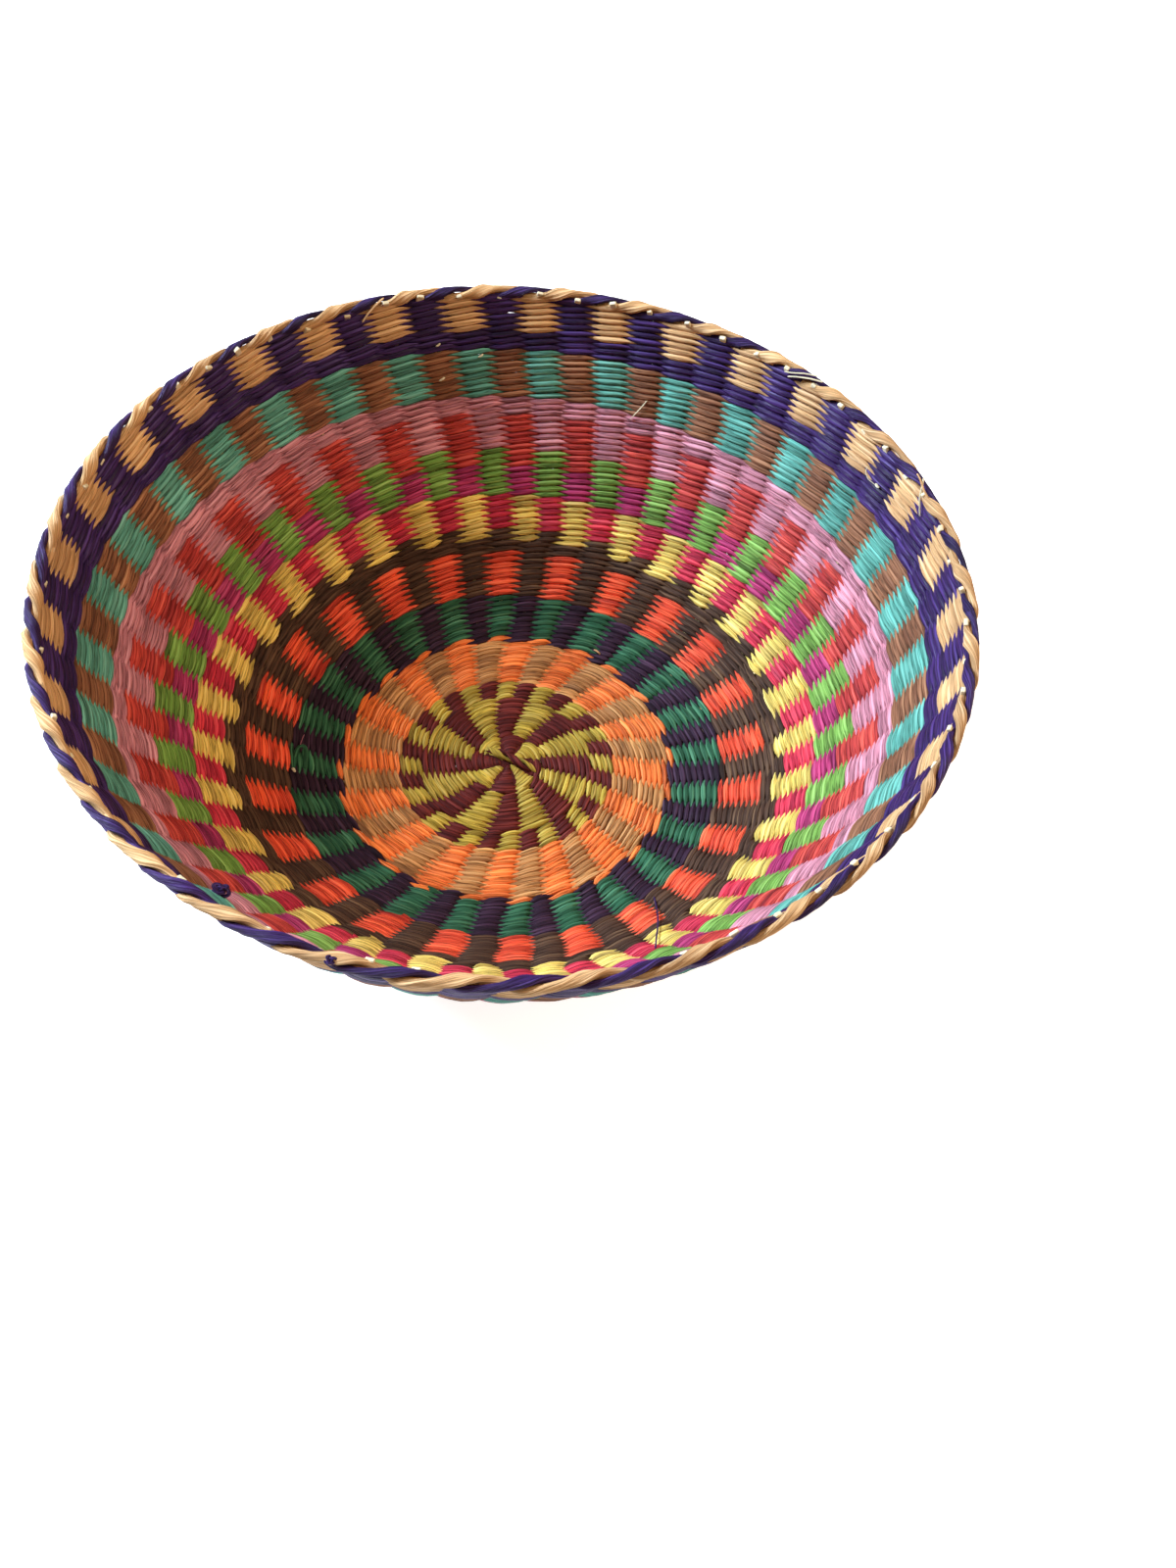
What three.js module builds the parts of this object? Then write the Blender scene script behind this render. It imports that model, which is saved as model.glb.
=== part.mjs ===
// Straw bowl, twined from dyed straw. All sizes in millimetres, +Z up, origin under the middle of the base.
// Sixteen flat stakes cross at the centre, fan out and fork into sixty-four ends. Pairs of dyed straw strands
// are laid round them course by course, one strand of each pair inside the stakes and one outside. A border
// of two strands laid round each other closes the edge over the stake ends.
import * as THREE from 'three';

// Driving dimensions of the wall line, which runs along the stakes from the centre to the border
const flatRadius = 53;            // half the width of the flat that the bowl stands on
const steepestSlope = 77.5;       // degrees from level that the wall would reach if it went on
const bendLength = 66.5;          // length over which the wall turns up

// Courses of twining
const baseCourse = 2.1;           // height of one course on the base
const wallCourse = 2.3;           // height of one course on the wall
const firstCourse = 12;           // radius at which the first course starts
const strandThickness = 1.05;     // a flattened straw strand, through the wall
const strandGap = 0.3;            // between one colour and the next

// Stakes
const stakeThickness = 0.8;
const stakeWidth = 1.6;           // where the stakes cross and fan out
const endWidth = 1.3;             // of each half of a forked stake
const crossPitch = 1.9;           // between neighbours that cross the centre side by side
const crossGap = 0.5;             // between the two layers that cross
const stakesEachWay = 8;
const stakeClearance = 0.7;       // between a stake and the strands on each side of it
const firstFork = 60.3;           // distance from the centre at which every second arm forks
const lastFork = 99.5;            // and at which the others do
const forkLength = 12;            // run over which the halves part
const layoutTurn = -3.7;          // degrees by which the whole layout is turned, past the flat base
const swirlAngle = 14.3;          // degrees by which the base courses drag the arms round
const settleAngle = 2.8;          // degrees that they go on in the same sense where the wall turns up
const leanAngle = 5.7;            // degrees by which they lean back the other way, up to the border
const leanStart = 105;            // distance from the centre at which they start to lean back

// Centre binding
const bindingThickness = 1.1;
const bindingCrown = 0.4;
const bindingGap = 0.3;

// Border
const borderStrandRadius = 1.15;
const borderGap = 0.3;            // between the two strands of the border, and under it
const borderTurns = 32;           // full turns that the strands make round each other

// Fineness of the facets
const largestSag = 0.45;          // that a facet may stray from the curve of the wall
const baseFacets = 32;
const wallFacets = 40;
const bindingFacets = 16;
const borderStepsPerTurn = 5;
const borderSides = 5;

// Colours of the straw
const colours = {
  stake: '#efe2bd', olive: '#a99a42', maroon: '#6d2322', orange: '#f57f3a', tan: '#b88a4c', plum: '#3a1f3a',
  bottle: '#2f6b4a', vermilion: '#e34f2d', brown: '#4d3427', yellow: '#e8c45c', crimson: '#c4293f',
  leaf: '#76a848', magenta: '#ab3870', red: '#bf3d35', pink: '#d08c9c', teal: '#6fab96', russet: '#8d5a40',
  purple: '#35204f', straw: '#d8a468',
};

// A point of the wall line: distance out, height, and slope in radians, for a distance along the wall
const slopeAt = (s) => {
  const turned = 1 - Math.exp(-Math.max(0, s - flatRadius) / bendLength);
  return THREE.MathUtils.degToRad(steepestSlope) * turned;
};
const wallHalf = stakeThickness / 2 + stakeClearance + strandThickness;
const lineStep = 0.25;
const lineTable = [new THREE.Vector2(0, wallHalf)];
const lineAt = (s) => {
  const whole = Math.floor(s / lineStep);
  while (lineTable.length < whole + 2) {
    const slope = slopeAt((lineTable.length - 0.5) * lineStep);
    const last = lineTable[lineTable.length - 1];
    lineTable.push(new THREE.Vector2(last.x + Math.cos(slope) * lineStep, last.y + Math.sin(slope) * lineStep));
  }
  return lineTable[whole].clone().lerp(lineTable[whole + 1], s / lineStep - whole);
};

// The same, moved off the wall line: inward and up is positive
const wallPoint = (s, offset) => {
  const slope = slopeAt(s);
  return lineAt(s).add(new THREE.Vector2(-Math.sin(slope), Math.cos(slope)).multiplyScalar(offset));
};

// Stations along the wall, closer together where it bends more, so that no facet strays too far from it.
// One always lies where the flat ends.
const stations = (from, to) => {
  if (from < flatRadius && to > flatRadius) {
    return [from, ...stations(flatRadius, to)];
  }
  const toShare = (s) => Math.exp(-Math.max(0, s - flatRadius) / (2 * bendLength));
  const first = toShare(from);
  const last = toShare(to);
  const largestShare = Math.sqrt((2 * largestSag) / (THREE.MathUtils.degToRad(steepestSlope) * bendLength));
  const steps = Math.max(1, Math.ceil((first - last) / largestShare));
  const between = Array.from({ length: steps - 1 }, (_, i) => {
    const share = first + ((last - first) * (i + 1)) / steps;
    return flatRadius - 2 * bendLength * Math.log(share);
  });
  return [from, ...between, to];
};

// Distance from the centre at which each course starts, counted from the first one
const coursesOnBase = 23;
const coursesOnWall = 61;
const courseCount = coursesOnBase + coursesOnWall;
const courseStart = (n) => {
  const onBase = Math.min(n, coursesOnBase);
  return firstCourse + onBase * baseCourse + (n - onBase) * wallCourse;
};
const wallTop = courseStart(courseCount);

const bowl = new THREE.Group();
const addPart = (name, geometry, colour, roughness = 0.6) => {
  const material = new THREE.MeshStandardMaterial({ color: colours[colour], roughness, metalness: 0 });
  const mesh = new THREE.Mesh(geometry, material);
  mesh.name = name;
  bowl.add(mesh);
};

// A closed outline turned about the Z axis
const turned = (outline, facets) => {
  const geometry = new THREE.LatheGeometry([...outline, outline[0]], facets);
  return geometry.rotateX(Math.PI / 2);
};

// One strand, wound round the bowl from one course to another on one side of the stakes. Its facets lie
// clear of the stakes: inside them the corners are on the true circle, and outside them the flats are.
const strandOutline = (from, to, side, facets) => {
  const low = courseStart(from) + strandGap / 2;
  const high = courseStart(to) - strandGap / 2;
  const near = side * (stakeThickness / 2 + stakeClearance);
  const far = near + side * strandThickness;
  const line = stations(low, high);
  const onNear = line.map((s) => wallPoint(s, near));
  const onFar = line.map((s) => wallPoint(s, far)).reverse();
  const outline = side > 0 ? [...onNear, ...onFar] : [...onNear, ...onFar].reverse();
  const widen = side > 0 ? 1 : 1 / Math.cos(Math.PI / facets);
  return outline.map((p) => new THREE.Vector2(p.x * widen, p.y));
};
const inside = 1;
const outside = -1;
const strands = [
  { name: 'olive_strand', colour: 'olive', side: inside, from: 0, to: 13 },
  { name: 'maroon_strand', colour: 'maroon', side: outside, from: 0, to: 13 },
  { name: 'orange_strand', colour: 'orange', side: inside, from: 13, to: 24 },
  { name: 'tan_strand', colour: 'tan', side: outside, from: 13, to: 23 },
  { name: 'plum_strand', colour: 'plum', side: outside, from: 23, to: 32 },
  { name: 'bottle_green_strand', colour: 'bottle', side: inside, from: 24, to: 32 },
  { name: 'vermilion_strand', colour: 'vermilion', side: inside, from: 32, to: 40 },
  { name: 'brown_strand_outer', colour: 'brown', side: outside, from: 32, to: 44 },
  { name: 'brown_strand_inner', colour: 'brown', side: inside, from: 40, to: 42 },
  { name: 'yellow_strand', colour: 'yellow', side: inside, from: 42, to: 50 },
  { name: 'crimson_strand', colour: 'crimson', side: outside, from: 44, to: 50 },
  { name: 'leaf_green_strand', colour: 'leaf', side: inside, from: 50, to: 58 },
  { name: 'magenta_strand', colour: 'magenta', side: outside, from: 50, to: 55 },
  { name: 'red_strand', colour: 'red', side: outside, from: 55, to: 64 },
  { name: 'pink_strand_inner', colour: 'pink', side: inside, from: 58, to: 67 },
  { name: 'pink_strand_outer', colour: 'pink', side: outside, from: 64, to: 67 },
  { name: 'teal_strand', colour: 'teal', side: inside, from: 67, to: 75 },
  { name: 'russet_strand', colour: 'russet', side: outside, from: 67, to: 75 },
  { name: 'purple_strand_inner', colour: 'purple', side: inside, from: 75, to: 78 },
  { name: 'purple_strand_outer', colour: 'purple', side: outside, from: 75, to: courseCount },
  { name: 'straw_strand', colour: 'straw', side: inside, from: 78, to: courseCount },
];
for (const { name, colour, side, from, to } of strands) {
  const facets = to <= coursesOnBase + 1 ? baseFacets : wallFacets;
  addPart(name, turned(strandOutline(from, to, side, facets), facets), colour);
}

// Degrees by which the arms are turned about the axis at a distance from the centre
const armTurn = (s) => {
  const inward = Math.max(0, (firstFork - s) / (firstFork - firstCourse));
  const settled = THREE.MathUtils.clamp((s - firstFork) / (leanStart - firstFork), 0, 1);
  const upward = Math.max(0, (s - leanStart) / (wallTop - leanStart));
  return layoutTurn + swirlAngle * inward ** 1.5 - settleAngle * settled + leanAngle * upward;
};

// Degrees between the halves of a fork and its arm. The halves of the arms that fork first draw closer
// again where the other arms fork, so that all the ends are evenly spaced.
const arms = stakesEachWay * 4;
const armAngle = 360 / arms;
const forkAngle = (s, early) => {
  const first = THREE.MathUtils.smoothstep(s, firstFork, firstFork + forkLength);
  const last = THREE.MathUtils.smoothstep(s, lastFork, lastFork + forkLength);
  const evenEnds = armAngle / 4;
  const firstEnds = armAngle / 3;
  return early ? firstEnds * first + (evenEnds - firstEnds) * last : evenEnds * last;
};

// A point of a stake, in space, with the direction in which its thickness lies
const stakePoint = (angle, s, offset) => {
  const a = THREE.MathUtils.degToRad(angle);
  const slope = slopeAt(s);
  const p = wallPoint(s, offset);
  const out = new THREE.Vector3(Math.cos(a), Math.sin(a), 0);
  const normal = out.clone().multiplyScalar(-Math.sin(slope)).setZ(Math.cos(slope));
  return { at: out.multiplyScalar(p.x).setZ(p.y), normal };
};

// A skin of four-cornered sections. The corners go right below, left below, left above, right above, as
// seen by someone looking outward along the stake.
const addSection = (skin, { at, normal }, forward, width) => {
  const across = normal.clone().cross(forward).normalize().multiplyScalar(width / 2);
  const up = normal.clone().multiplyScalar(stakeThickness / 2);
  return [[-1, -1], [1, -1], [1, 1], [-1, 1]].map(([a, u]) => {
    return skin.corners.push(at.clone().addScaledVector(across, a).addScaledVector(up, u)) - 1;
  });
};
const joinSections = (skin, from, to) => {
  for (let k = 0; k < 4; k += 1) {
    const next = (k + 1) % 4;
    skin.faces.push(from[k], to[next], to[k], from[k], from[next], to[next]);
  }
};
const forwardAt = (points, i) => {
  const before = points[Math.max(0, i - 1)].at;
  return points[Math.min(points.length - 1, i + 1)].at.clone().sub(before);
};

// The last step of an arm before it forks, whose end is shared by the two halves
const joinAtFork = (skin, from, to) => {
  const [rightBelow, leftBelow, leftAbove, rightAbove] = to;
  const middleOf = (a, b) => skin.corners.push(skin.corners[a].clone().lerp(skin.corners[b], 0.5)) - 1;
  const below = middleOf(rightBelow, leftBelow);
  const above = middleOf(leftAbove, rightAbove);
  for (const [k, middle] of [[0, below], [2, above]]) {
    skin.faces.push(from[k], middle, to[k], from[k], from[k + 1], middle, from[k + 1], to[k + 1], middle);
  }
  for (const k of [1, 3]) {
    const next = (k + 1) % 4;
    skin.faces.push(from[k], to[next], to[k], from[k], from[next], to[next]);
  }
  return [
    { half: 1, section: [below, leftBelow, leftAbove, above] },
    { half: -1, section: [rightBelow, below, above, rightAbove] },
  ];
};

// One arm of a stake, outward from the middle of the crossing to the border
const addArm = (skin, middleSection, crossingPoint, angle, early) => {
  const fork = early ? firstFork : lastFork;
  const near = [0, 1 / 4, 1 / 2].map((share) => firstCourse + share * (firstFork - firstCourse));
  const line = [...near, ...(early ? [fork] : stations(firstFork, fork))];
  const points = [crossingPoint, ...line.map((s) => stakePoint(angle + armTurn(s), s, 0))];
  let last = middleSection;
  let halves = [];
  points.forEach((point, i) => {
    const section = addSection(skin, point, forwardAt(points, i), stakeWidth);
    if (i + 1 < points.length) {
      joinSections(skin, last, section);
    } else {
      halves = joinAtFork(skin, last, section);
    }
    last = section;
  });
  for (const { half, section } of halves) {
    const halfLine = [fork, ...stations(fork + forkLength, wallTop)];
    const halfPoints = halfLine.map((s) => stakePoint(angle + armTurn(s) + half * forkAngle(s, early), s, 0));
    let end = section;
    for (let i = 1; i < halfPoints.length; i += 1) {
      const next = addSection(skin, halfPoints[i], forwardAt(halfPoints, i), endWidth);
      joinSections(skin, end, next);
      end = next;
    }
    skin.faces.push(end[0], end[1], end[2], end[0], end[2], end[3]);
  }
};

// A stake lies straight across the centre, in the upper or the lower layer, and bends into line with its
// two arms just past the stakes that it crosses. One arm forks early and the other late.
const crossHalf = (crossPitch * (stakesEachWay - 1) + stakeWidth) / 2;
const stake = (layer, place) => {
  const turn = THREE.MathUtils.degToRad(layer * 90 + armTurn(firstCourse));
  const offset = ((layer === 0 ? 1 : -1) * (stakeThickness + crossGap)) / 2;
  const crossingPoint = (along) => {
    const flat = new THREE.Vector2(along, place * crossPitch).rotateAround(new THREE.Vector2(), turn);
    return { at: new THREE.Vector3(flat.x, flat.y, lineAt(0).y + offset), normal: new THREE.Vector3(0, 0, 1) };
  };
  const skin = { corners: [], faces: [] };
  const forward = new THREE.Vector3(Math.cos(turn), Math.sin(turn), 0);
  const [a, b, c, d] = addSection(skin, crossingPoint(0), forward, stakeWidth);
  const early = (place + 0.5) % 2 === 0;
  addArm(skin, [a, b, c, d], crossingPoint(crossHalf), layer * 90 + place * armAngle, early);
  addArm(skin, [b, a, d, c], crossingPoint(-crossHalf), layer * 90 + 180 - place * armAngle, !early);
  const geometry = new THREE.BufferGeometry().setFromPoints(skin.corners);
  geometry.setIndex(skin.faces);
  return geometry;
};
for (let layer = 0; layer < 2; layer += 1) {
  for (let i = 0; i < stakesEachWay; i += 1) {
    const number = String(layer * stakesEachWay + i + 1).padStart(2, '0');
    addPart(`stake_${number}`, stake(layer, i - (stakesEachWay - 1) / 2), 'stake', 0.7);
  }
}

// The binding over the crossing is a low crowned pad of strands, and the one under it is flat
const bindingRadius = firstCourse - bindingGap;
const layersHalf = stakeThickness + crossGap / 2;
const middle = lineAt(0).y;
const under = middle + layersHalf + bindingGap;
addPart('centre_binding', turned([
  new THREE.Vector2(0, under),
  new THREE.Vector2(bindingRadius, under),
  new THREE.Vector2(bindingRadius, under + bindingThickness - bindingCrown),
  new THREE.Vector2(bindingRadius / 2, under + bindingThickness),
  new THREE.Vector2(0, under + bindingThickness),
], bindingFacets), 'olive');
addPart('centre_binding_under', turned([
  new THREE.Vector2(0, 0),
  new THREE.Vector2(bindingRadius, 0),
  new THREE.Vector2(bindingRadius, middle - layersHalf - bindingGap),
  new THREE.Vector2(0, middle - layersHalf - bindingGap),
], bindingFacets), 'maroon');

// The border: two strands laid round each other, round the whole edge and back into themselves
const borderOrbit = borderStrandRadius + borderGap / 2;
const borderCentre = lineAt(wallTop + borderGap + borderOrbit + borderStrandRadius);
const borderStrand = (phase) => {
  const steps = borderTurns * borderStepsPerTurn;
  const corners = [];
  const faces = [];
  for (let i = 0; i < steps; i += 1) {
    const round = (i / steps) * 2 * Math.PI;
    const lay = borderTurns * round + THREE.MathUtils.degToRad(phase);
    for (let k = 0; k < borderSides; k += 1) {
      const corner = lay + (k / borderSides) * 2 * Math.PI;
      const r = borderCentre.x + borderOrbit * Math.cos(lay) + borderStrandRadius * Math.cos(corner);
      const z = borderCentre.y + borderOrbit * Math.sin(lay) + borderStrandRadius * Math.sin(corner);
      corners.push(r * Math.cos(round), r * Math.sin(round), z);
      const next = ((i + 1) % steps) * borderSides;
      const a = i * borderSides + k;
      const b = i * borderSides + ((k + 1) % borderSides);
      const c = next + ((k + 1) % borderSides);
      const d = next + k;
      faces.push(a, c, b, a, d, c);
    }
  }
  const geometry = new THREE.BufferGeometry();
  geometry.setAttribute('position', new THREE.Float32BufferAttribute(corners, 3));
  geometry.setIndex(faces);
  return geometry;
};
addPart('border_strand_straw', borderStrand(0), 'straw');
addPart('border_strand_purple', borderStrand(180), 'purple');

export default bowl;
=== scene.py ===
import math
import bmesh
import bpy
import numpy as np
from mathutils import Matrix, Vector


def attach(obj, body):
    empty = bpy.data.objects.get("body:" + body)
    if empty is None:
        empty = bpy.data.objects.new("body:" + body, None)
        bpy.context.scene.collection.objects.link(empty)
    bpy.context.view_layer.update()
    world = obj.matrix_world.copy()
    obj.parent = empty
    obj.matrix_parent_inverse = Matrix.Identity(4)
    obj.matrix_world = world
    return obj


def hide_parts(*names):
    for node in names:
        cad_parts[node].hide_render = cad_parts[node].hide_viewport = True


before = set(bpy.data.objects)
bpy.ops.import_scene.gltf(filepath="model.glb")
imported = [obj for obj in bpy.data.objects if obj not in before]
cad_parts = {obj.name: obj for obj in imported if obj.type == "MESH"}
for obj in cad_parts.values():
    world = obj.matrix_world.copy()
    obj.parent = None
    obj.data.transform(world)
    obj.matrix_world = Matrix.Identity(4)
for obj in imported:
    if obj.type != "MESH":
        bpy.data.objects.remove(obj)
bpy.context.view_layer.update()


# Stakes
# Sixteen flat undyed straw splints cross at the centre, fan out and fork into sixty-four ends.
# They carry the twining, which hides all of them but slivers between the stitches.

def add_node(tree, kind, links=(), **values):
    """A shader node with its settings and input values, joined to the outputs that links gives."""
    node = tree.nodes.new(kind)
    for key, value in values.items():
        if hasattr(node, key):
            setattr(node, key, value)
        else:
            node.inputs[key.replace("_", " ").title()].default_value = value
    for socket, source in dict(links).items():
        tree.links.new(source, node.inputs[socket])
    return node


def math_node(tree, operation, *given):
    """The output of a maths node. What it is given are outputs to join or plain numbers."""
    node = tree.nodes.new("ShaderNodeMath")
    node.operation = operation
    for socket, each in zip(node.inputs, given):
        if isinstance(each, float):
            socket.default_value = each
        else:
            tree.links.new(each, socket)
    return node.outputs[0]


def make_fibre_group():
    """Dyed straw: fine lines along the strand, painted shade in seams between straws, and stitch by stitch
    tones.
    """
    tree = bpy.data.node_groups.new("straw fibres", "ShaderNodeTree")
    sockets = (("INPUT", "Place", "Vector"), ("INPUT", "Tone", "Float"), ("INPUT", "Dye", "Color"),
               ("INPUT", "Thin Dye", "Color"), ("INPUT", "Contrast", "Float"), ("OUTPUT", "Color", "Color"),
               ("OUTPUT", "Roughness", "Float"), ("OUTPUT", "Height", "Float"))
    for way, name, kind in sockets:
        tree.interface.new_socket(name, in_out=way, socket_type="NodeSocket" + kind)
    source = tree.nodes.new("NodeGroupInput").outputs
    result = tree.nodes.new("NodeGroupOutput").inputs

    # Long thin noise, much finer across the strand than along it
    lines = {}
    for grain, (along, across) in {"fine": (90.0, 3400.0), "broad": (38.0, 1100.0)}.items():
        stretch = add_node(tree, "ShaderNodeVectorMath", {0: source["Place"]}, operation="MULTIPLY")
        stretch.inputs[1].default_value = (along, across, 0.0)
        noise = add_node(tree, "ShaderNodeTexNoise", {"Vector": stretch.outputs[0]}, scale=1.0, detail=2.0)
        lines[grain] = noise.outputs["Fac"]
    both = math_node(tree, "ADD", lines["fine"], lines["broad"])
    streak = add_node(tree, "ShaderNodeMapRange", {"Value": both}, from_min=0.72, from_max=1.28).outputs[0]

    # Painted shade in thin seams between the straws of a strand, where the broad noise passes one level; the
    # same seams are sunk in the height
    seam_level, seam_width, seam_shade = 0.46, 0.045, 1.1
    away = math_node(tree, "ABSOLUTE", math_node(tree, "SUBTRACT", lines["broad"], seam_level))
    deepest_shade = math_node(tree, "MULTIPLY_ADD", source["Contrast"], -seam_shade, 1.0)
    seam_shade_and_groove = add_node(tree, "ShaderNodeMapRange", {"Value": away, "To Min": deepest_shade},
                    from_max=seam_width).outputs[0]

    # Where the straw took less dye it is paler
    patch = add_node(tree, "ShaderNodeMapRange", {"Value": lines["broad"]}, from_min=0.5, from_max=0.8)
    dyed = add_node(tree, "ShaderNodeMix", {0: patch.outputs[0], 6: source["Dye"], 7: source["Thin Dye"]},
                    data_type="RGBA")

    # Light and dark by line and by stitch
    tone_share, hue_share = 0.52, 0.003
    swing = math_node(tree, "SUBTRACT", streak, 0.5)
    with_tone = math_node(tree, "MULTIPLY_ADD", source["Tone"], tone_share, swing)
    value = math_node(tree, "MULTIPLY_ADD", with_tone, source["Contrast"], 1.0)
    # Here the painted shade of the seams darkens the colour
    lined = math_node(tree, "MULTIPLY", value, seam_shade_and_groove)
    hue = math_node(tree, "MULTIPLY_ADD", source["Tone"], hue_share, 0.5)
    shade = add_node(tree, "ShaderNodeHueSaturation", {"Color": dyed.outputs[2], "Value": lined, "Hue": hue})
    tree.links.new(shade.outputs[0], result["Color"])

    # The light lines are the crowns of the fibres, which are smoother
    gloss = add_node(tree, "ShaderNodeMapRange", {"Value": streak}, to_min=0.76, to_max=0.60)
    tree.links.new(gloss.outputs[0], result["Roughness"])
    tree.links.new(math_node(tree, "ADD", both, seam_shade_and_groove), result["Height"])
    return tree


def srgb(red, green, blue):
    """A colour as a screen shows it, 0 to 255, as the linear values that a shader takes."""
    parts = [channel / 255 for channel in (red, green, blue)]
    return tuple(p / 12.92 if p <= 0.04045 else ((p + 0.055) / 1.055) ** 2.4 for p in parts) + (1.0,)


fibres = make_fibre_group()


def straw_material(name, dye, thin, contrast=0.55, depth=0.0002, satin=0.0, on_mesh=True):
    """Straw in one dye. It follows the strand's own map, or the distance and angle from the centre."""
    material = bpy.data.materials.new(name)
    material.use_nodes = True
    tree = material.node_tree
    shader = tree.nodes["Principled BSDF"]
    group = add_node(tree, "ShaderNodeGroup", node_tree=fibres)
    group.inputs["Dye"].default_value = srgb(*dye)
    group.inputs["Thin Dye"].default_value = srgb(*thin)
    group.inputs["Contrast"].default_value = contrast
    if on_mesh:
        tone = add_node(tree, "ShaderNodeAttribute", attribute_name="tone")
        tree.links.new(tone.outputs["Fac"], group.inputs["Tone"])
        place = add_node(tree, "ShaderNodeUVMap", uv_map="UVMap")
    else:
        middle_radius = 0.08
        spot = add_node(tree, "ShaderNodeTexCoord").outputs["Object"]
        out = add_node(tree, "ShaderNodeVectorMath", {0: spot}, operation="LENGTH")
        split = add_node(tree, "ShaderNodeSeparateXYZ", {0: spot})
        angle = math_node(tree, "ARCTAN2", split.outputs["Y"], split.outputs["X"])
        across = math_node(tree, "MULTIPLY", angle, middle_radius)
        place = add_node(tree, "ShaderNodeCombineXYZ", {0: out.outputs["Value"], 1: across})
    tree.links.new(place.outputs[0], group.inputs["Place"])
    bump = add_node(tree, "ShaderNodeBump", {"Height": group.outputs["Height"]}, distance=depth)
    tree.links.new(group.outputs["Color"], shader.inputs["Base Color"])
    tree.links.new(group.outputs["Roughness"], shader.inputs["Roughness"])
    tree.links.new(bump.outputs[0], shader.inputs["Normal"])
    tree.links.new(bump.outputs[0], shader.inputs["Coat Normal"])
    shader.inputs["Specular IOR Level"].default_value = 0.22
    shader.inputs["Coat Weight"].default_value = satin
    shader.inputs["Coat Roughness"].default_value = 0.36
    return material


splint = straw_material("splint straw", (214, 186, 132), (238, 224, 186), on_mesh=False)
for number in range(1, 17):
    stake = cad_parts["stake_%02d" % number]
    for place in stake.material_slots:
        place.material = splint


# Olive strand
# The inside strand of the first courses, dyed olive. Straw is laid in pairs: at each stake one strand
# passes inside and one outside, and they cross between stakes, so a colour keeps to every second column.

flat_radius, steepest, bend_length = 53.0, 77.5, 66.5
wall_middle, wall_step = 2.15, 0.1
along_wall = np.arange(0, 230, wall_step)
wall_slope = np.radians(steepest) * (1 - np.exp(-np.maximum(0, along_wall - flat_radius) / bend_length))
slope_between = wall_slope[:-1] + np.diff(wall_slope) / 2
wall_out = np.append(0, np.cumsum(np.cos(slope_between) * wall_step))
wall_up = np.append(0, np.cumsum(np.sin(slope_between) * wall_step)) + wall_middle
strand_girth = 0.0056


def on_wall(angle, s, offset):
    """Points in metres: angle in degrees, distance up the wall and offset inward from its middle in mm."""
    slope = np.interp(s, along_wall, wall_slope)
    out = np.interp(s, along_wall, wall_out) - np.sin(slope) * offset
    up = np.interp(s, along_wall, wall_up) + np.cos(slope) * offset
    turn = np.radians(angle)
    return np.stack([out * np.cos(turn), out * np.sin(turn), up], axis=-1) / 1000


base_courses, first_course, base_pitch, wall_pitch = 23, 12, 2.1, 2.3


def course_start(n):
    """Distance up the wall, in mm, at which course n begins."""
    on_base = np.minimum(n, base_courses)
    return first_course + base_pitch * on_base + wall_pitch * (n - on_base)


# Degrees by which the columns are dragged round, at distances up the wall in mm
turned_at = [4, 12, 21, 31, 45, 60, 80, 111, 140, 170, 198]
turned_by = [18.5, 16.2, 12.1, 8.6, 4.6, 1.9, 0.2, -0.9, 0.8, 2.8, 4.8]


def smooth(x):
    """Rises from 0 to 1 with a level start and end."""
    x = np.clip(x, 0, 1)
    return x * x * (3 - 2 * x)


# Where the arms of the stakes fork, in mm up the wall, and the degrees from an arm to each of its halves:
# at first, and where all the ends are evenly spaced
first_fork, last_fork, fork_length = 60.3, 99.5, 12
first_half, even_half = 3.75, 2.8125


def fork_shift(angle, s, columns):
    """Degrees by which one of 48 or 64 columns stands off its even place while the stakes beside it part."""
    place = np.mod(angle, 22.5)
    if columns == 48:
        least = 2.4
        parted = np.maximum(first_half * smooth((s - first_fork) / fork_length), least)
        return (first_half - parted) * np.interp(place, [0, 7.5, 15, 22.5], [0, 1, -1, 0])
    least = 1.5
    late = smooth((s - last_fork) / fork_length)
    ends = [0, 2.8125, 8.4375, 14.0625, 19.6875, 22.5]
    of_first = (even_half - first_half) * (1 - late) * np.interp(place, ends, [0, 0, 1, -1, 0, 0])
    of_last = (even_half - np.maximum(even_half * late, least)) * np.interp(place, ends, [0, -1, 0, 0, 1, 0])
    return of_first + of_last


# Columns in a round, the angle of one on which the even strand lies inside, and the angle from which
# they hold. The angle goes on from round to round, and at each change both layouts are in step.
spiral_start = 247.5
layouts = [(8, 28.125, -9999.0), (16, 16.875, 275.625), (32, 0.0, 9 * 360 + 253.125),
           (48, 7.5, 23 * 360 + 247.5), (64, 2.8125, 42 * 360 + 258.75)]


def columns_along(start, end, steps_each):
    """Angles from start to end in even steps of a column, and the layout that holds at each of them."""
    angles, columns, even_at = [], [], []
    holds_to = [low for _, _, low in layouts[1:]] + [99999.0]
    for (count, at, low), high in zip(layouts, holds_to):
        if max(start, low) < min(end, high):
            angles.append(np.arange(max(start, low), min(end, high), 360 / count / steps_each))
            columns.append(np.full(angles[-1].size, count))
            even_at.append(np.full(angles[-1].size, at))
    return (np.concatenate(each) for each in (angles, columns, even_at))


# Every stake drifts a little to and fro from course to course, by a share of a column
wander = np.random.default_rng(11).normal(0, 1, (64, 140))
for _ in range(4):
    wander = (np.roll(wander, 1, axis=1) + 2 * wander + np.roll(wander, -1, axis=1)) / 4
wander_share, courses_before = 0.11, 8


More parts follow.
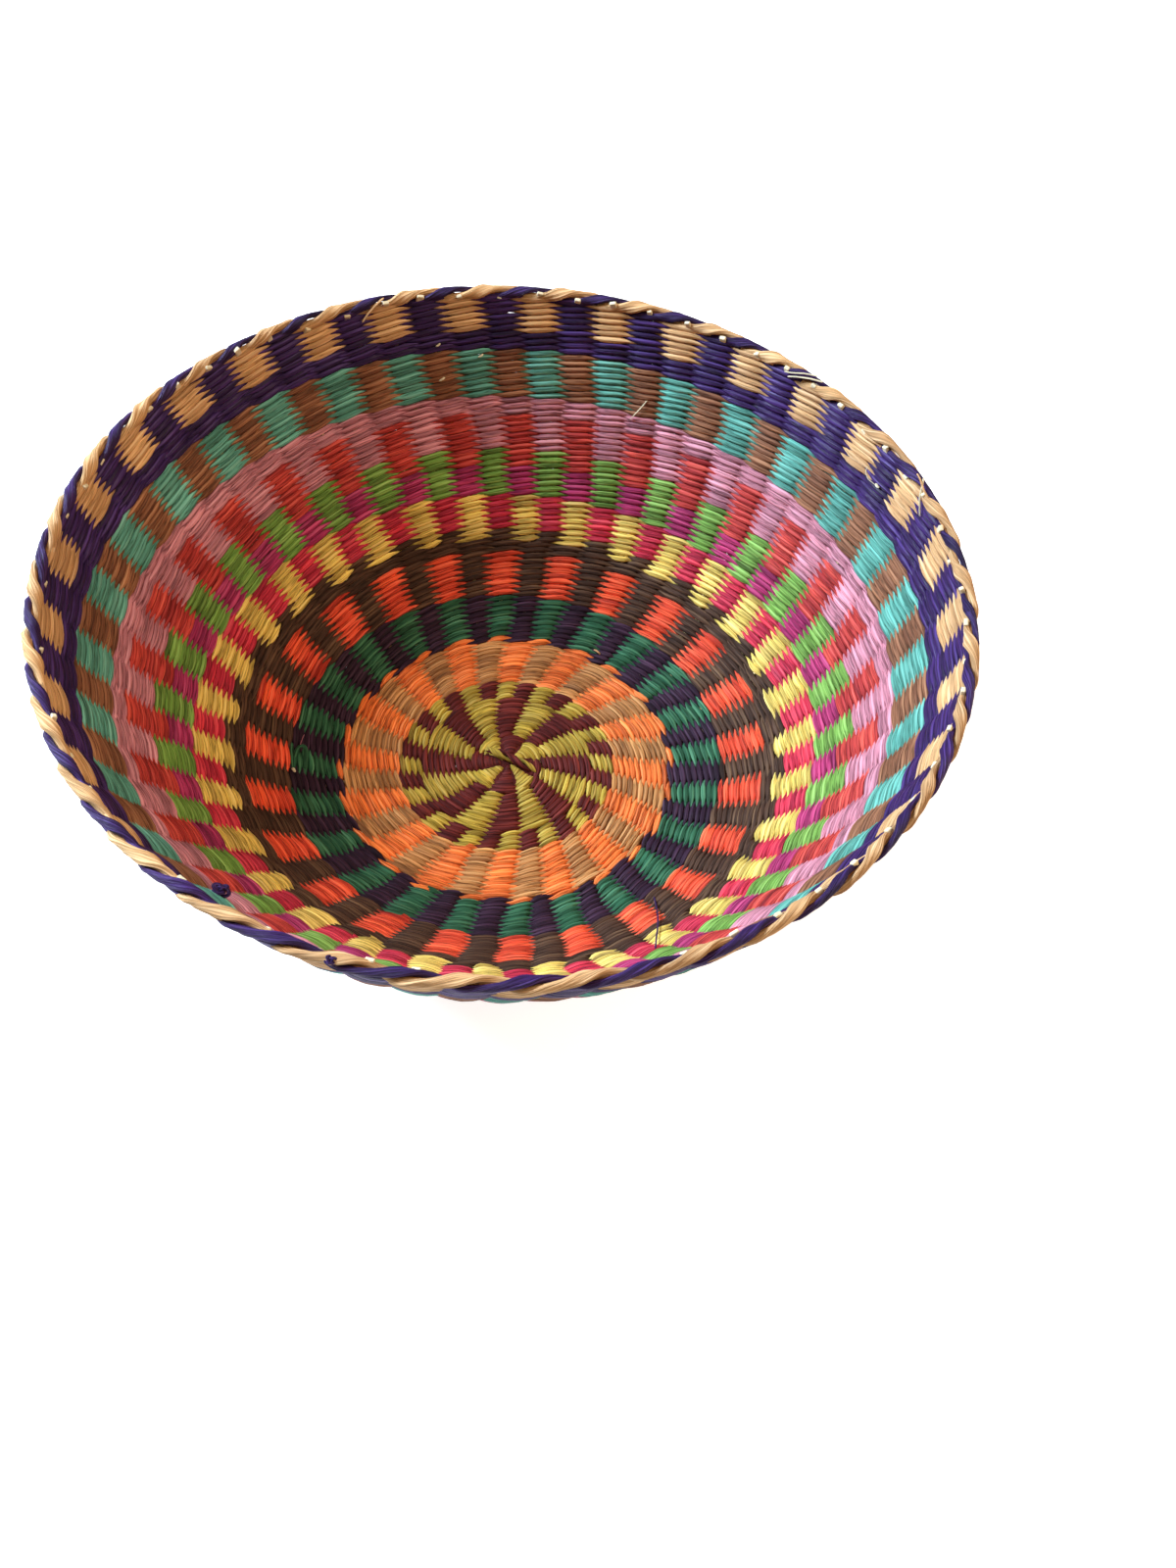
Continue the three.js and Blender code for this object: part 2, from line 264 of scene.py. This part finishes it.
def make_strand(name, points, length, girth, tone, material):
    """A closed tube through points, an array by step and turn. Length, tone: one value for each step."""
    steps, sides = points.shape[0] - 1, points.shape[1] - 1
    build = bmesh.new()
    bmesh.ops.create_grid(build, x_segments=steps, y_segments=sides, size=0.5)
    mesh = bpy.data.meshes.new(name)
    build.to_mesh(mesh)
    build.free()
    flat = np.empty(len(mesh.vertices) * 3)
    mesh.vertices.foreach_get("co", flat)
    flat = flat.reshape(-1, 3) + 0.5
    step = np.rint(flat[:, 0] * steps).astype(int)
    side = np.rint(flat[:, 1] * sides).astype(int)
    mesh.vertices.foreach_set("co", points[step, side].ravel())
    corner = np.empty(len(mesh.loops), dtype=np.int32)
    mesh.loops.foreach_get("vertex_index", corner)
    chart = np.stack([length[step[corner]], side[corner] / sides * girth], axis=-1)
    mesh.uv_layers.new(name="UVMap").data.foreach_set("uv", chart.astype(np.float32).ravel())
    mesh.attributes.new("tone", "FLOAT", "POINT").data.foreach_set("value", tone[step].astype(np.float32))

    build = bmesh.new()
    build.from_mesh(mesh)
    bmesh.ops.remove_doubles(build, verts=build.verts, dist=1e-7)
    if build.calc_volume(signed=True) < 0:
        bmesh.ops.reverse_faces(build, faces=build.faces)
    for each in build.faces:
        each.smooth = True
    build.to_mesh(mesh)
    build.free()
    mesh.materials.append(material)
    strand = bpy.data.objects.new(name, mesh)
    bpy.context.collection.objects.link(strand)
    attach(strand, "root")
    return strand


def twine(name, first, last, odd, material, seed, depth=1.3, half=0.78, edge_on=0.5, full=1.0):
    """One strand, laid from course first to course last. An odd one is inside on the odd columns."""
    steps_each, sides, overlap = 8, 8, 0.6
    rng = np.random.default_rng(seed)
    start, end = (n * 360 + spiral_start for n in (first, last))
    start -= overlap * 360 / [count for count, _, low in layouts if low < start][-1]
    end += overlap * 360 / [count for count, _, low in layouts if low < end][-1]
    angles, columns, even_at = columns_along(start, end, steps_each)
    courses = (angles - spiral_start) / 360
    column = (angles - even_at) * columns / 360
    place = column + odd
    inside, across = np.cos(np.pi * place), np.sin(np.pi * place)

    # Every stitch is a little different
    whole = np.floor(place).astype(int)
    low = whole.min()
    part = smooth(place - whole)

    def by_stitch(spread):
        values = rng.normal(0, spread, whole.max() - low + 3)
        return values[whole - low] * (1 - part) + values[whole - low + 1] * part

    # Flat over the stake, and turned on edge where it crosses its partner, so the stitch is a long leaf
    crossing_height, flat_height, slant = 0.32, 0.53, 0.26
    reach = np.where(columns <= 32, 0.5, 0.64)
    pitch = np.where(courses < base_courses, base_pitch, wall_pitch)
    flat_on = np.abs(inside)
    swell = np.sign(inside) * flat_on ** np.where(columns <= 16, 1.0, 1.4)
    s = course_start(courses) + pitch / 2 - across * pitch * (slant + by_stitch(0.03)) + by_stitch(0.08)
    offset = depth * swell * (1 + by_stitch(0.04))
    ease = smooth(np.minimum(np.arange(place.size), np.arange(place.size)[::-1]) / 4)
    height = crossing_height + (flat_height - crossing_height) * smooth((flat_on - 0.2) / reach)
    tall = full * pitch * height * (1 + by_stitch(0.06)) * ease
    thick = half * (1 + edge_on * smooth((1 - flat_on) / 0.5)) * (1 + by_stitch(0.05)) * ease

    stake = np.mod(np.floor(column), columns).astype(int)
    past = column % 1
    row = np.minimum(courses.astype(int) + courses_before, wander.shape[1] - 2)
    drift = wander[stake % 64, row] * (1 - past) + wander[(stake + 1) % columns % 64, row] * past
    fork = np.select([columns == 48, columns == 64],
                     [fork_shift(angles, s, 48), fork_shift(angles, s, 64)], 0.0)
    turned = angles + np.interp(s, turned_at, turned_by) + fork + drift * 360 / columns * wander_share

    # The strand leans as it goes in and out
    radius = np.interp(s, along_wall, wall_out)
    run = np.cumsum(np.append(0, np.hypot(np.diff(np.radians(turned)) * radius[1:], np.diff(offset))))
    lean = np.gradient(offset, np.maximum(run, 1e-9) + np.arange(run.size) * 1e-9)
    tilt = np.arctan(np.clip(lean, -2, 2)) * flat_on

    # A section with full corners
    turn = np.linspace(0, 2 * np.pi, sides + 1)
    wide, deep = (np.sign(each) * np.abs(each) ** 0.6 for each in (np.sin(turn), np.cos(turn)))
    shift = -np.sin(tilt)[:, None] * thick[:, None] * deep
    points = on_wall(turned[:, None] + np.degrees(shift / np.maximum(radius, 2)[:, None]),
                     s[:, None] + tall[:, None] * wide,
                     offset[:, None] + np.cos(tilt)[:, None] * thick[:, None] * deep)
    points[:, -1] = points[:, 0]
    points[..., 2] = np.maximum(points[..., 2], 0)

    # Tones differ from stitch to stitch, and slowly along the strand
    stitches = whole.max() - low + 4
    slow_at = np.arange(0, stitches + 9, 9)
    slow = np.interp(np.arange(stitches), slow_at, rng.normal(0, 0.2, (stitches + 17) // 9))
    tone = (rng.normal(0, 0.5, stitches) + slow)[np.rint(place).astype(int) - low]
    return make_strand(name, points, run / 1000, strand_girth, tone, material)


olive = straw_material("olive straw", (186, 158, 60), (214, 192, 108))
piece = twine("olive_twining", 0, 13, 0, olive, 101)
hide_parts("olive_strand")


# Maroon strand
# The partner of the olive strand, dyed a dark red brown. It shows inside on the columns between.

maroon = straw_material("maroon straw", (94, 28, 28), (134, 56, 50))
piece = twine("maroon_twining", 0, 13, 1, maroon, 102)
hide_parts("maroon_strand")


# Orange strand
# The next inside strand, which starts where the olive one runs out and fills the rest of the base.

orange = straw_material("orange straw", (255, 128, 60), (255, 166, 106))
piece = twine("orange_twining", 13, 24, 0, orange, 103)
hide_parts("orange_strand")


# Tan strand
# Undyed straw that has gone brown, the partner of the orange strand.

tan = straw_material("tan straw", (194, 134, 80), (218, 172, 118))
piece = twine("tan_twining", 13, 23, 1, tan, 104)
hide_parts("tan_strand")


# Plum strand
# Nearly black purple. With it the wall turns up, and the stakes fork for the first time.

plum = straw_material("plum straw", (46, 24, 46), (80, 56, 78))
piece = twine("plum_twining", 23, 32, 1, plum, 105)
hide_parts("plum_strand")


# Bottle green strand
# The partner of the plum strand. Its dye took unevenly, so some stitches are much paler.

bottle = straw_material("bottle green straw", (44, 98, 70), (90, 140, 106))
piece = twine("bottle_green_twining", 24, 32, 0, bottle, 106)
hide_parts("bottle_green_strand")


# Vermilion strand
# Bright red orange blocks on a dark ground, the first band of the wall proper.

vermilion = straw_material("vermilion straw", (240, 82, 54), (250, 126, 92))
piece = twine("vermilion_twining", 32, 40, 0, vermilion, 107)
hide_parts("vermilion_strand")


# Dark brown strand
# The ground of the vermilion blocks. It runs on as one of the yellow strand's partners.

brown = straw_material("dark brown straw", (75, 51, 40), (114, 88, 64))
piece = twine("dark_brown_twining", 32, 44, 1, brown, 108)
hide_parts("brown_strand_outer")


# Second dark brown strand
# For two courses both strands are dark brown, which makes a plain ring between two rings of blocks.

piece = twine("dark_brown_ring_twining", 40, 42, 0, brown, 109)
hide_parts("brown_strand_inner")


# Yellow strand
# Warm yellow blocks, where the stakes fork for the last time.

yellow = straw_material("yellow straw", (238, 206, 104), (248, 226, 150))
piece = twine("yellow_twining", 42, 50, 0, yellow, 110)
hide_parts("yellow_strand")


# Crimson strand
# The partner of the yellow strand in its last six courses.

crimson = straw_material("crimson straw", (206, 48, 76), (226, 94, 108))
piece = twine("crimson_twining", 44, 50, 1, crimson, 111)
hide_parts("crimson_strand")


# Leaf green strand
# Light green blocks, which stand on the crimson columns.

leaf = straw_material("leaf green straw", (120, 166, 76), (158, 194, 114))
piece = twine("leaf_green_twining", 50, 58, 1, leaf, 112)
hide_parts("leaf_green_strand")


# Magenta strand
# Five courses of purple pink on the yellow columns.

magenta = straw_material("magenta straw", (176, 50, 106), (202, 92, 136))
piece = twine("magenta_twining", 50, 55, 0, magenta, 113)
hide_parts("magenta_strand")


# Red strand
# It goes on from the magenta strand, on the same columns.

red = straw_material("red straw", (200, 64, 62), (222, 106, 94))
piece = twine("red_twining", 55, 64, 0, red, 114)
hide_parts("red_strand")


# Pink strand
# Dusty pink, on the leaf green columns.

pink = straw_material("pink straw", (206, 134, 152), (226, 170, 188))
piece = twine("pink_twining", 58, 67, 1, pink, 115)
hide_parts("pink_strand_inner")


# Second pink strand
# For three courses both strands are pink, which makes a plain ring.

piece = twine("pink_ring_twining", 64, 67, 0, pink, 116)
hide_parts("pink_strand_outer")


# Teal strand
# Grey green blocks under the purple courses.

teal = straw_material("teal straw", (98, 172, 158), (134, 198, 186))
piece = twine("teal_twining", 67, 75, 1, teal, 117)
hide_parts("teal_strand")


# Russet strand
# The partner of the teal strand, a red brown close to bare straw.

russet = straw_material("russet straw", (148, 98, 72), (180, 132, 100))
piece = twine("russet_twining", 67, 75, 0, russet, 118)
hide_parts("russet_strand")


# Purple strand
# Dark purple with a satin face, laid in every course from here to the border.

purple = straw_material("purple straw", (54, 26, 90), (88, 64, 140), satin=0.25)
piece = twine("purple_twining", 75, 84, 0, purple, 119)
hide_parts("purple_strand_outer")


# Second purple strand
# For three courses both strands are purple, which makes a plain dark ring.

piece = twine("purple_ring_twining", 75, 78, 1, purple, 120)
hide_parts("purple_strand_inner")


# Straw strand
# Undyed straw blocks on the purple ground, up to the border.

natural = straw_material("natural straw", (226, 176, 124), (246, 218, 174), contrast=0.36)
piece = twine("natural_twining", 78, 84, 1, natural, 121)
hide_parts("straw_strand")


# Centre binding
# The olive and the maroon strand go round the crossing of the stakes five times before the courses
# begin. There they take the stakes four at a time, so each colour shows as four lobes.

piece = twine("centre_olive_twining", -5, 0, 0, olive, 122, depth=1.75, half=0.6, full=1.3)
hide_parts("centre_binding")
piece = twine("centre_maroon_twining", -5, 0, 1, maroon, 123, depth=1.75, half=0.6, full=1.3)
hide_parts("centre_binding_under")


# Strands across the centre
# Before they go round, the two strands are twisted together once across the crossing, over its face.

def lay_thread(name, path, wide, thick, material, up=(0, 0, 1), roll=None, sides=10, taper=1.5):
    """A single straw along a path of points in mm. Wide and thick are half sizes, tapered at both ends."""
    path = np.array(path, dtype=float)
    span = np.append(0, np.cumsum(np.linalg.norm(np.diff(path, axis=0), axis=1)))
    ahead = np.gradient(path, axis=0)
    ahead /= np.linalg.norm(ahead, axis=1)[:, None]
    side = np.cross(ahead, np.array(up, dtype=float))
    side /= np.linalg.norm(side, axis=1)[:, None]
    face = np.cross(side, ahead)
    if roll is not None:
        side, face = (side * np.cos(roll)[:, None] + face * np.sin(roll)[:, None],
                      face * np.cos(roll)[:, None] - side * np.sin(roll)[:, None])
    ease = np.sqrt(smooth(np.minimum(span, span[-1] - span) / max(wide, 0.2) / taper))
    turn = np.linspace(0, 2 * np.pi, sides + 1)
    across = wide * ease[:, None] * np.sin(turn)
    deep = thick * ease[:, None] * np.cos(turn)
    points = path[:, None] + side[:, None] * across[..., None] + face[:, None] * deep[..., None]
    points[:, -1] = points[:, 0]
    return make_strand(name, points / 1000, span / 1000, strand_girth, np.zeros(len(path)), material)


# From the upper left of the crossing to its lower right, arched over the stakes. Sizes in mm
first_east, east_run, first_north, north_run = -9.0, 20.3, 5.8, -8.8
foot, arch_rise, half_turns, first_lay = 3.4, 1.7, 2.6, 0.4
share = np.linspace(0, 1, 60)
arch = np.sin(np.pi * share) ** 0.35
for name, opposite, dye, slot in (("centre_olive_twist", 0, olive, "olive_straw"),
                                  ("centre_maroon_twist", np.pi, maroon, "maroon_straw")):
    lay = share * half_turns * np.pi + opposite + first_lay
    path = np.stack([first_east + east_run * share + 0.4 * np.cos(lay),
                     first_north + north_run * share + 0.92 * np.cos(lay),
                     foot + arch_rise * arch + 0.8 * np.sin(lay) * arch], axis=1)
    piece = lay_thread(name, path, 1.45, 0.7, dye, roll=np.pi / 2 - lay, taper=4.0)

# The ends of the first strands lie flat under them and fill the middle
core_straw = straw_material("maroon straw, crossing", (98, 30, 30), (140, 60, 54), on_mesh=False)
disc_radius, disc_half, disc_height = 0.0098, 0.0006, 0.0032
under = bmesh.new()
bmesh.ops.create_icosphere(under, subdivisions=3, radius=1.0)
bmesh.ops.scale(under, verts=under.verts, vec=(disc_radius, disc_radius, disc_half))
bmesh.ops.translate(under, verts=under.verts, vec=(0, 0, disc_height))
under_mesh = bpy.data.meshes.new("centre_core")
under.to_mesh(under_mesh)
under.free()
under_mesh.materials.append(core_straw)
piece = bpy.data.objects.new("centre_core", under_mesh)
bpy.context.collection.objects.link(piece)
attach(piece, "root")


# Border
# Two thick strands, one undyed and one purple, are laid round each other over the stake ends. Each is a
# flattened bundle of straws, which twists as it goes.

# Where the undyed strand lies uppermost: degrees round the rim, and the turn that it is in
lay_angles = [-6, 6, 17.5, 33, 65, 111.5, 144, 190, 221, 243, 281, 305, 318, 330, 354, 366]
lay_turns = [-0.73, 0.31, 1.30, 2.29, 5.30, 9.32, 12.33, 16.26, 19.15, 21.11, 24.08, 26.07, 27.14, 28.2,
             30.27, 31.31]
border_radius, border_height, border_orbit = 149.45, 105.6, 1.3
border_length, border_girth = 0.94, 0.016


def border_strand(name, phase, wide, thick, material, seed):
    """One strand of the border, 31 turns round its partner and once round the bowl."""
    turns, steps_each, sides, own_twists = 31, 20, 36, 9
    rng = np.random.default_rng(seed)
    part = np.arange(turns * steps_each + 1) / (turns * steps_each)
    lay = 2 * np.pi * np.interp(360 * part, lay_angles, lay_turns) + np.radians(phase)
    uneven = rng.normal(0, 1, (3, turns + 1))
    uneven[:, -1] = uneven[:, 0]
    grid = np.linspace(0, 1, turns + 1)
    girth = 1 + 0.07 * np.interp(part, grid, uneven[0])
    lay = lay + 0.08 * np.interp(part, grid, uneven[1])
    orbit = border_orbit * (1 + 0.08 * np.interp(part, grid, uneven[2]))
    out, up = border_radius + orbit * np.cos(lay), border_height + orbit * np.sin(lay)
    # Broad where it lies on the inner or the outer face, narrow where it passes between the stakes
    leaf = (1 + 0.22 * np.cos(2 * (lay - math.radians(125)))) * girth
    turn = np.linspace(0, 2 * np.pi, sides + 1)
    ridge = 1 + 0.05 * np.cos(9 * turn) + 0.025 * np.cos(16 * turn + 1)
    around = turn[None, :] - own_twists * 2 * np.pi * part[:, None]
    across = wide * np.sin(around) * ridge * leaf[:, None]
    deep = thick * np.cos(around) * ridge * girth[:, None]
    radius = out[:, None] + deep * np.cos(lay)[:, None] - across * np.sin(lay)[:, None]
    height = up[:, None] + deep * np.sin(lay)[:, None] + across * np.cos(lay)[:, None]
    angle = 2 * np.pi * part[:, None]
    points = np.stack([radius * np.cos(angle), radius * np.sin(angle), height], axis=-1) / 1000
    points[:, -1] = points[:, 0]
    points[-1] = points[0]
    tone = 0.6 * np.interp(part, grid, uneven[0])
    return make_strand(name, points, part * border_length, border_girth, tone, material)


piece = border_strand("border_natural", 0, 2.0, 1.2, natural, 124)
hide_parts("border_strand_straw")
piece = border_strand("border_purple", 180, 1.7, 1.1, purple, 125)
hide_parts("border_strand_purple")


# Core of the border
# The last straws of the wall run on under the border strands and close the gaps between them.

core_radius, core_height, half_wide, half_tall, core_girth = 149.3, 104.3, 0.75, 1.6, 0.0075
rounds, turn = np.linspace(0, 2 * np.pi, 361), np.linspace(0, 2 * np.pi, 9)
radius = core_radius + half_wide * np.cos(turn)
height = np.tile(core_height + half_tall * np.sin(turn), (rounds.size, 1))
points = np.stack([np.outer(np.cos(rounds), radius), np.outer(np.sin(rounds), radius), height], axis=-1)
points[:, -1] = points[:, 0]
points[-1] = points[0]
along = border_length * rounds / (2 * np.pi)
piece = make_strand("border_core", points / 1000, along, core_girth, np.zeros(rounds.size), tan)


# Cut stake ends
# The pale cut ends of the sixty-four stakes stand out between the strands of the border, on its inner side.

pith = straw_material("cut stake ends", (240, 228, 196), (250, 244, 226), contrast=0.2)
end_radius, end_height, end_sunk, end_bevel = 0.1479, 0.1052, 0.0018, 0.0004
end_count, step_between = 64, 5.625

# Degrees from their even places, at some of the ends by number
shift_at = [0, 3, 10, 16, 23, 28, 56, 61, 64]
shift_by = [4.1, 4.2, 1.2, 1.6, 3.0, 2.2, 2.1, 3.9, 4.1]

ends_seed = np.random.default_rng(126)
ends = bmesh.new()
for number in range(end_count):
    length, thick = ends_seed.uniform(2.8, 3.8), ends_seed.uniform(1.2, 1.7)
    wide = ends_seed.uniform(1.9, 2.9)
    # On the left and the near side most of them have slipped down behind the border
    chance = 0.8 if 28 <= number <= 54 else 0.24
    sunk = end_sunk if ends_seed.random() < chance else 0.0
    made = bmesh.ops.create_cube(ends, size=1.0)["verts"]
    bmesh.ops.scale(ends, verts=made, vec=Vector((thick, wide, length)) / 1000)
    edges = list({edge for vert in made for edge in vert.link_edges})
    made = bmesh.ops.bevel(ends, geom=edges, offset=end_bevel, segments=3, profile=0.5,
                           affect="EDGES", material=-1)["verts"]
    lean = Matrix.Rotation(math.radians(ends_seed.uniform(-34, -4)), 3, "Y")
    twist = Matrix.Rotation(math.radians(ends_seed.uniform(-25, 25)), 3, "X")
    bmesh.ops.rotate(ends, verts=made, matrix=twist @ lean)
    out = end_radius + ends_seed.uniform(-0.0003, 0.0003)
    up = end_height - sunk + ends_seed.uniform(-0.0005, 0.0005)
    bmesh.ops.translate(ends, verts=made, vec=(out, 0, up))
    at_stake = step_between * number + np.interp(number, shift_at, shift_by)
    about = Matrix.Rotation(math.radians(at_stake + ends_seed.uniform(-0.35, 0.35)), 3, "Z")
    bmesh.ops.rotate(ends, verts=made, matrix=about)
ends_mesh = bpy.data.meshes.new("cut_stake_ends")
ends.to_mesh(ends_mesh)
ends.free()
ends_mesh.materials.append(pith)
piece = bpy.data.objects.new("cut_stake_ends", ends_mesh)
bpy.context.collection.objects.link(piece)
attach(piece, "root")


# Loose ends
# What the years have pulled out: a curled end, a knot and a loop of purple, frayed straws at the border,
# a dark thread and the pale tips of a few stakes. Each is given by angle, distance up the wall and offset.

def on_curve(marks, count=48):
    """A smooth path in mm through marks on the wall."""
    marks = np.array(marks, dtype=float)
    grid = np.linspace(0, len(marks) - 1, count)
    even = np.stack([np.interp(grid, np.arange(len(marks)), marks[:, axis]) for axis in range(3)], axis=1)
    for _ in range(14):
        even[1:-1] = (even[:-2] + 2 * even[1:-1] + even[2:]) / 4
    return on_wall(even[:, 0], even[:, 1], even[:, 2]) * 1000


# Name, straw, slot, half width and half thickness in mm, and marks
loose = [
    ("curled_end", bottle, "bottle_green_straw", 0.8, 0.3,
     [(191, 77.0, 1.4), (189, 77.0, 2.4), (187, 77.2, 3.4), (185.4, 77.9, 4.4), (184.9, 79.4, 4.6),
      (185.7, 80.9, 3.9), (187.3, 81.3, 2.6), (188.6, 81.1, 1.2)]),
    ("pale_tip_left", pith, "stake_straw", 0.55, 0.4,
     [(191.9, 82.2, 1.6), (192.6, 82.0, 2.7), (193.8, 81.4, 2.9)]),
    ("thin_thread_left", pink, "pink_straw", 0.16, 0.12,
     [(180.0, 79.0, 2.6), (182.5, 79.6, 2.9), (185.0, 80.0, 2.9), (187.0, 80.8, 2.2)]),
    ("stray_straw_far", pith, "stake_straw", 0.26, 0.2,
     [(72.4, 169.8, 2.0), (73.1, 166.5, 3.0), (74.0, 163.0, 2.9), (74.6, 160.6, 2.0)]),
    ("dark_thread_near", purple, "purple_straw", 0.3, 0.22,
     [(314.4, 84.5, 1.8), (311.0, 93.5, 2.9), (307.4, 103.6, 3.0), (304.0, 113.5, 3.0),
      (301.4, 122.5, 2.0)]),
    ("stray_end_border", natural, "natural_straw", 0.55, 0.22,
     [(114.6, 204.6, 1.6), (116.2, 202.6, 2.6), (117.6, 200.0, 3.0), (118.6, 197.4, 2.9)]),
    ("frayed_straw_a", pith, "stake_straw", 0.34, 0.2,
     [(23.6, 206.2, 1.0), (22.2, 204.4, 2.8), (21.2, 201.5, 3.2), (19.4, 197.6, 2.7)]),
    ("frayed_straw_b", natural, "natural_straw", 0.4, 0.2,
     [(19.8, 203.8, 1.8), (21.6, 204.9, 3.2), (23.4, 205.6, 2.4), (25.0, 205.0, 1.0)]),
    ("frayed_straw_c", pith, "stake_straw", 0.42, 0.22,
     [(46.0, 205.6, 1.6), (47.8, 204.6, 3.0), (50.0, 202.4, 3.4), (51.4, 200.6, 3.0)]),
    ("frayed_straw_d", pith, "stake_straw", 0.36, 0.2,
     [(47.2, 206.2, 1.2), (49.0, 205.0, 2.8), (51.0, 202.6, 3.2), (52.2, 201.6, 2.8)]),
    ("tip_far_a", pith, "stake_straw", 0.5, 0.3,
     [(106.7, 171.6, 1.6), (107.1, 171.0, 2.7), (107.8, 170.4, 2.6)]),
    ("tip_far_b", pith, "stake_straw", 0.45, 0.3,
     [(106.9, 184.7, 1.6), (107.3, 184.2, 2.7), (107.8, 183.8, 2.6)]),
    ("tip_far_c", pith, "stake_straw", 0.45, 0.3,
     [(100.2, 179.5, 1.6), (100.6, 179.0, 2.7), (101.1, 178.5, 2.6)]),
    ("tip_base", natural, "natural_straw", 0.42, 0.25,
     [(61.4, 65.8, 1.4), (62.2, 65.9, 2.4), (63.4, 66.2, 2.4), (64.4, 66.4, 1.6)]),
    ("tip_right", pith, "stake_straw", 0.6, 0.35,
     [(29.9, 190.3, 1.8), (29.2, 190.5, 2.8), (28.6, 190.7, 2.9)]),
    ("curl_right", pith, "stake_straw", 0.16, 0.12,
     [(29.6, 190.2, 2.8), (31.0, 190.0, 3.6), (32.0, 191.0, 3.6), (32.6, 192.8, 2.6)]),
]
for name, material, slot, wide, thick, marks in loose:
    piece = lay_thread(name, on_curve(marks), wide, thick, material, up=(0.01, 0.02, 1), sides=8)

# A knot of purple on the wall and a smaller one on the border: a thread wound through itself
share = np.linspace(0, 2 * np.pi, 200)[:-1]
for name, at, size, seed in (("purple_knot", (235.3, 166.4, 3.4), 1.9, 5),
                             ("purple_loop", (257.6, 205.2, -0.4), 1.2, 6)):
    rng = np.random.default_rng(seed)
    bend = 0.62 + 0.38 * np.sin(5 * share) + 0.10 * np.sin(7 * share + rng.uniform(0, 6))
    knot = np.stack([1.25 * bend * np.cos(3 * share), bend * np.sin(3 * share),
                     0.6 * np.cos(4 * share + 0.4)], axis=1)
    path = on_wall(*at) * 1000 + knot * size
    piece = lay_thread(name, path, size * 0.36, size * 0.22, purple, up=(0.3, 0.2, 1), sides=8)


# Floor, light and camera
# A white floor, which keeps the soft shadow. A wide cool lamp stands on the left as the window does in
# the photograph, a warm one fills in from the right and a third from the ceiling.

floor_half, floor_white, floor_glow = 6, 0.86, 0.85
build = bmesh.new()
bmesh.ops.create_grid(build, x_segments=1, y_segments=1, size=floor_half)
floor_mesh = bpy.data.meshes.new("floor")
build.to_mesh(floor_mesh)
build.free()
floor = bpy.data.objects.new("floor", floor_mesh)
bpy.context.collection.objects.link(floor)

# White paper, which can be seen through from below
paper = bpy.data.materials.new("white paper")
paper.use_nodes = True
tree = paper.node_tree
tree.nodes.clear()
diffuse = add_node(tree, "ShaderNodeBsdfDiffuse")
diffuse.inputs["Color"].default_value = (floor_white, floor_white, floor_white, 1)
rays = add_node(tree, "ShaderNodeLightPath").outputs
seen = math_node(tree, "MAXIMUM", rays["Is Camera Ray"], rays["Is Glossy Ray"])
either = math_node(tree, "MAXIMUM", seen, rays["Is Transmission Ray"])
glow = add_node(tree, "ShaderNodeEmission", {"Strength": math_node(tree, "MULTIPLY", either, floor_glow)})
above = add_node(tree, "ShaderNodeAddShader", {0: diffuse.outputs[0], 1: glow.outputs[0]})
below = add_node(tree, "ShaderNodeBsdfTransparent")
behind = add_node(tree, "ShaderNodeNewGeometry").outputs["Backfacing"]
face = add_node(tree, "ShaderNodeMixShader", {0: behind, 1: above.outputs[0], 2: below.outputs[0]})
add_node(tree, "ShaderNodeOutputMaterial", {"Surface": face.outputs[0]})
floor_mesh.materials.append(paper)

# Round about, faint warm light that the camera sees as white
faint, warm_room = 0.12, (1.0, 0.76, 0.54, 1)
world = bpy.data.worlds.new("studio")
bpy.context.scene.world = world
world.use_nodes = True
tree = world.node_tree
tree.nodes.clear()
by_camera = add_node(tree, "ShaderNodeLightPath").outputs["Is Camera Ray"]
level = add_node(tree, "ShaderNodeMapRange", {"Value": by_camera}, to_min=faint, to_max=1.0)
warm = add_node(tree, "ShaderNodeMix", {"Factor": by_camera}, data_type="RGBA")
warm.inputs[6].default_value = warm_room
warm.inputs[7].default_value = (1, 1, 1, 1)
sky = add_node(tree, "ShaderNodeBackground", {"Color": warm.outputs[2], "Strength": level.outputs[0]})
add_node(tree, "ShaderNodeOutputWorld", {"Surface": sky.outputs[0]})


def lamp(name, place, size, power, colour):
    """A round lamp that points at the middle of the bowl. Metres and watts."""
    light = bpy.data.lights.new(name, "AREA")
    light.shape, light.size, light.energy, light.color = "DISK", size, power, colour
    lit = bpy.data.objects.new(name, light)
    lit.location = place
    lit.rotation_euler = (Vector((0, 0, 0.05)) - Vector(place)).to_track_quat("-Z", "Y").to_euler()
    bpy.context.collection.objects.link(lit)


lamp("window", (-1.5, 0.45, 1.2), 0.9, 84, (0.70, 0.86, 1.0))
lamp("warm fill", (1.6, 0.0, 1.5), 1.2, 23, (1.0, 0.74, 0.48))
lamp("ceiling", (0.0, 0.0, 2.2), 1.0, 7, (1.0, 0.82, 0.62))

# The camera is fitted to the photograph: its place in metres, and where the picture's right, its bottom
# and its depth point
camera_place = (0.03095, -0.33387, 0.45119)
right = Vector((0.99607, 0.07152, 0.05234))
down = Vector((0.08862, -0.80379, -0.58828))
forward = Vector((0, 0.5906, -0.80697))
camera_data = bpy.data.cameras.new("camera")
camera_data.lens = 33.75
camera_data.sensor_width = 36
camera_data.clip_start = 0.01
camera = bpy.data.objects.new("camera", camera_data)
bpy.context.collection.objects.link(camera)
axes = Matrix((right, -down, -forward)).transposed().to_4x4()
camera.matrix_world = Matrix.Translation(camera_place) @ axes
bpy.context.scene.camera = camera
bpy.context.scene.view_settings.view_transform = "Standard"
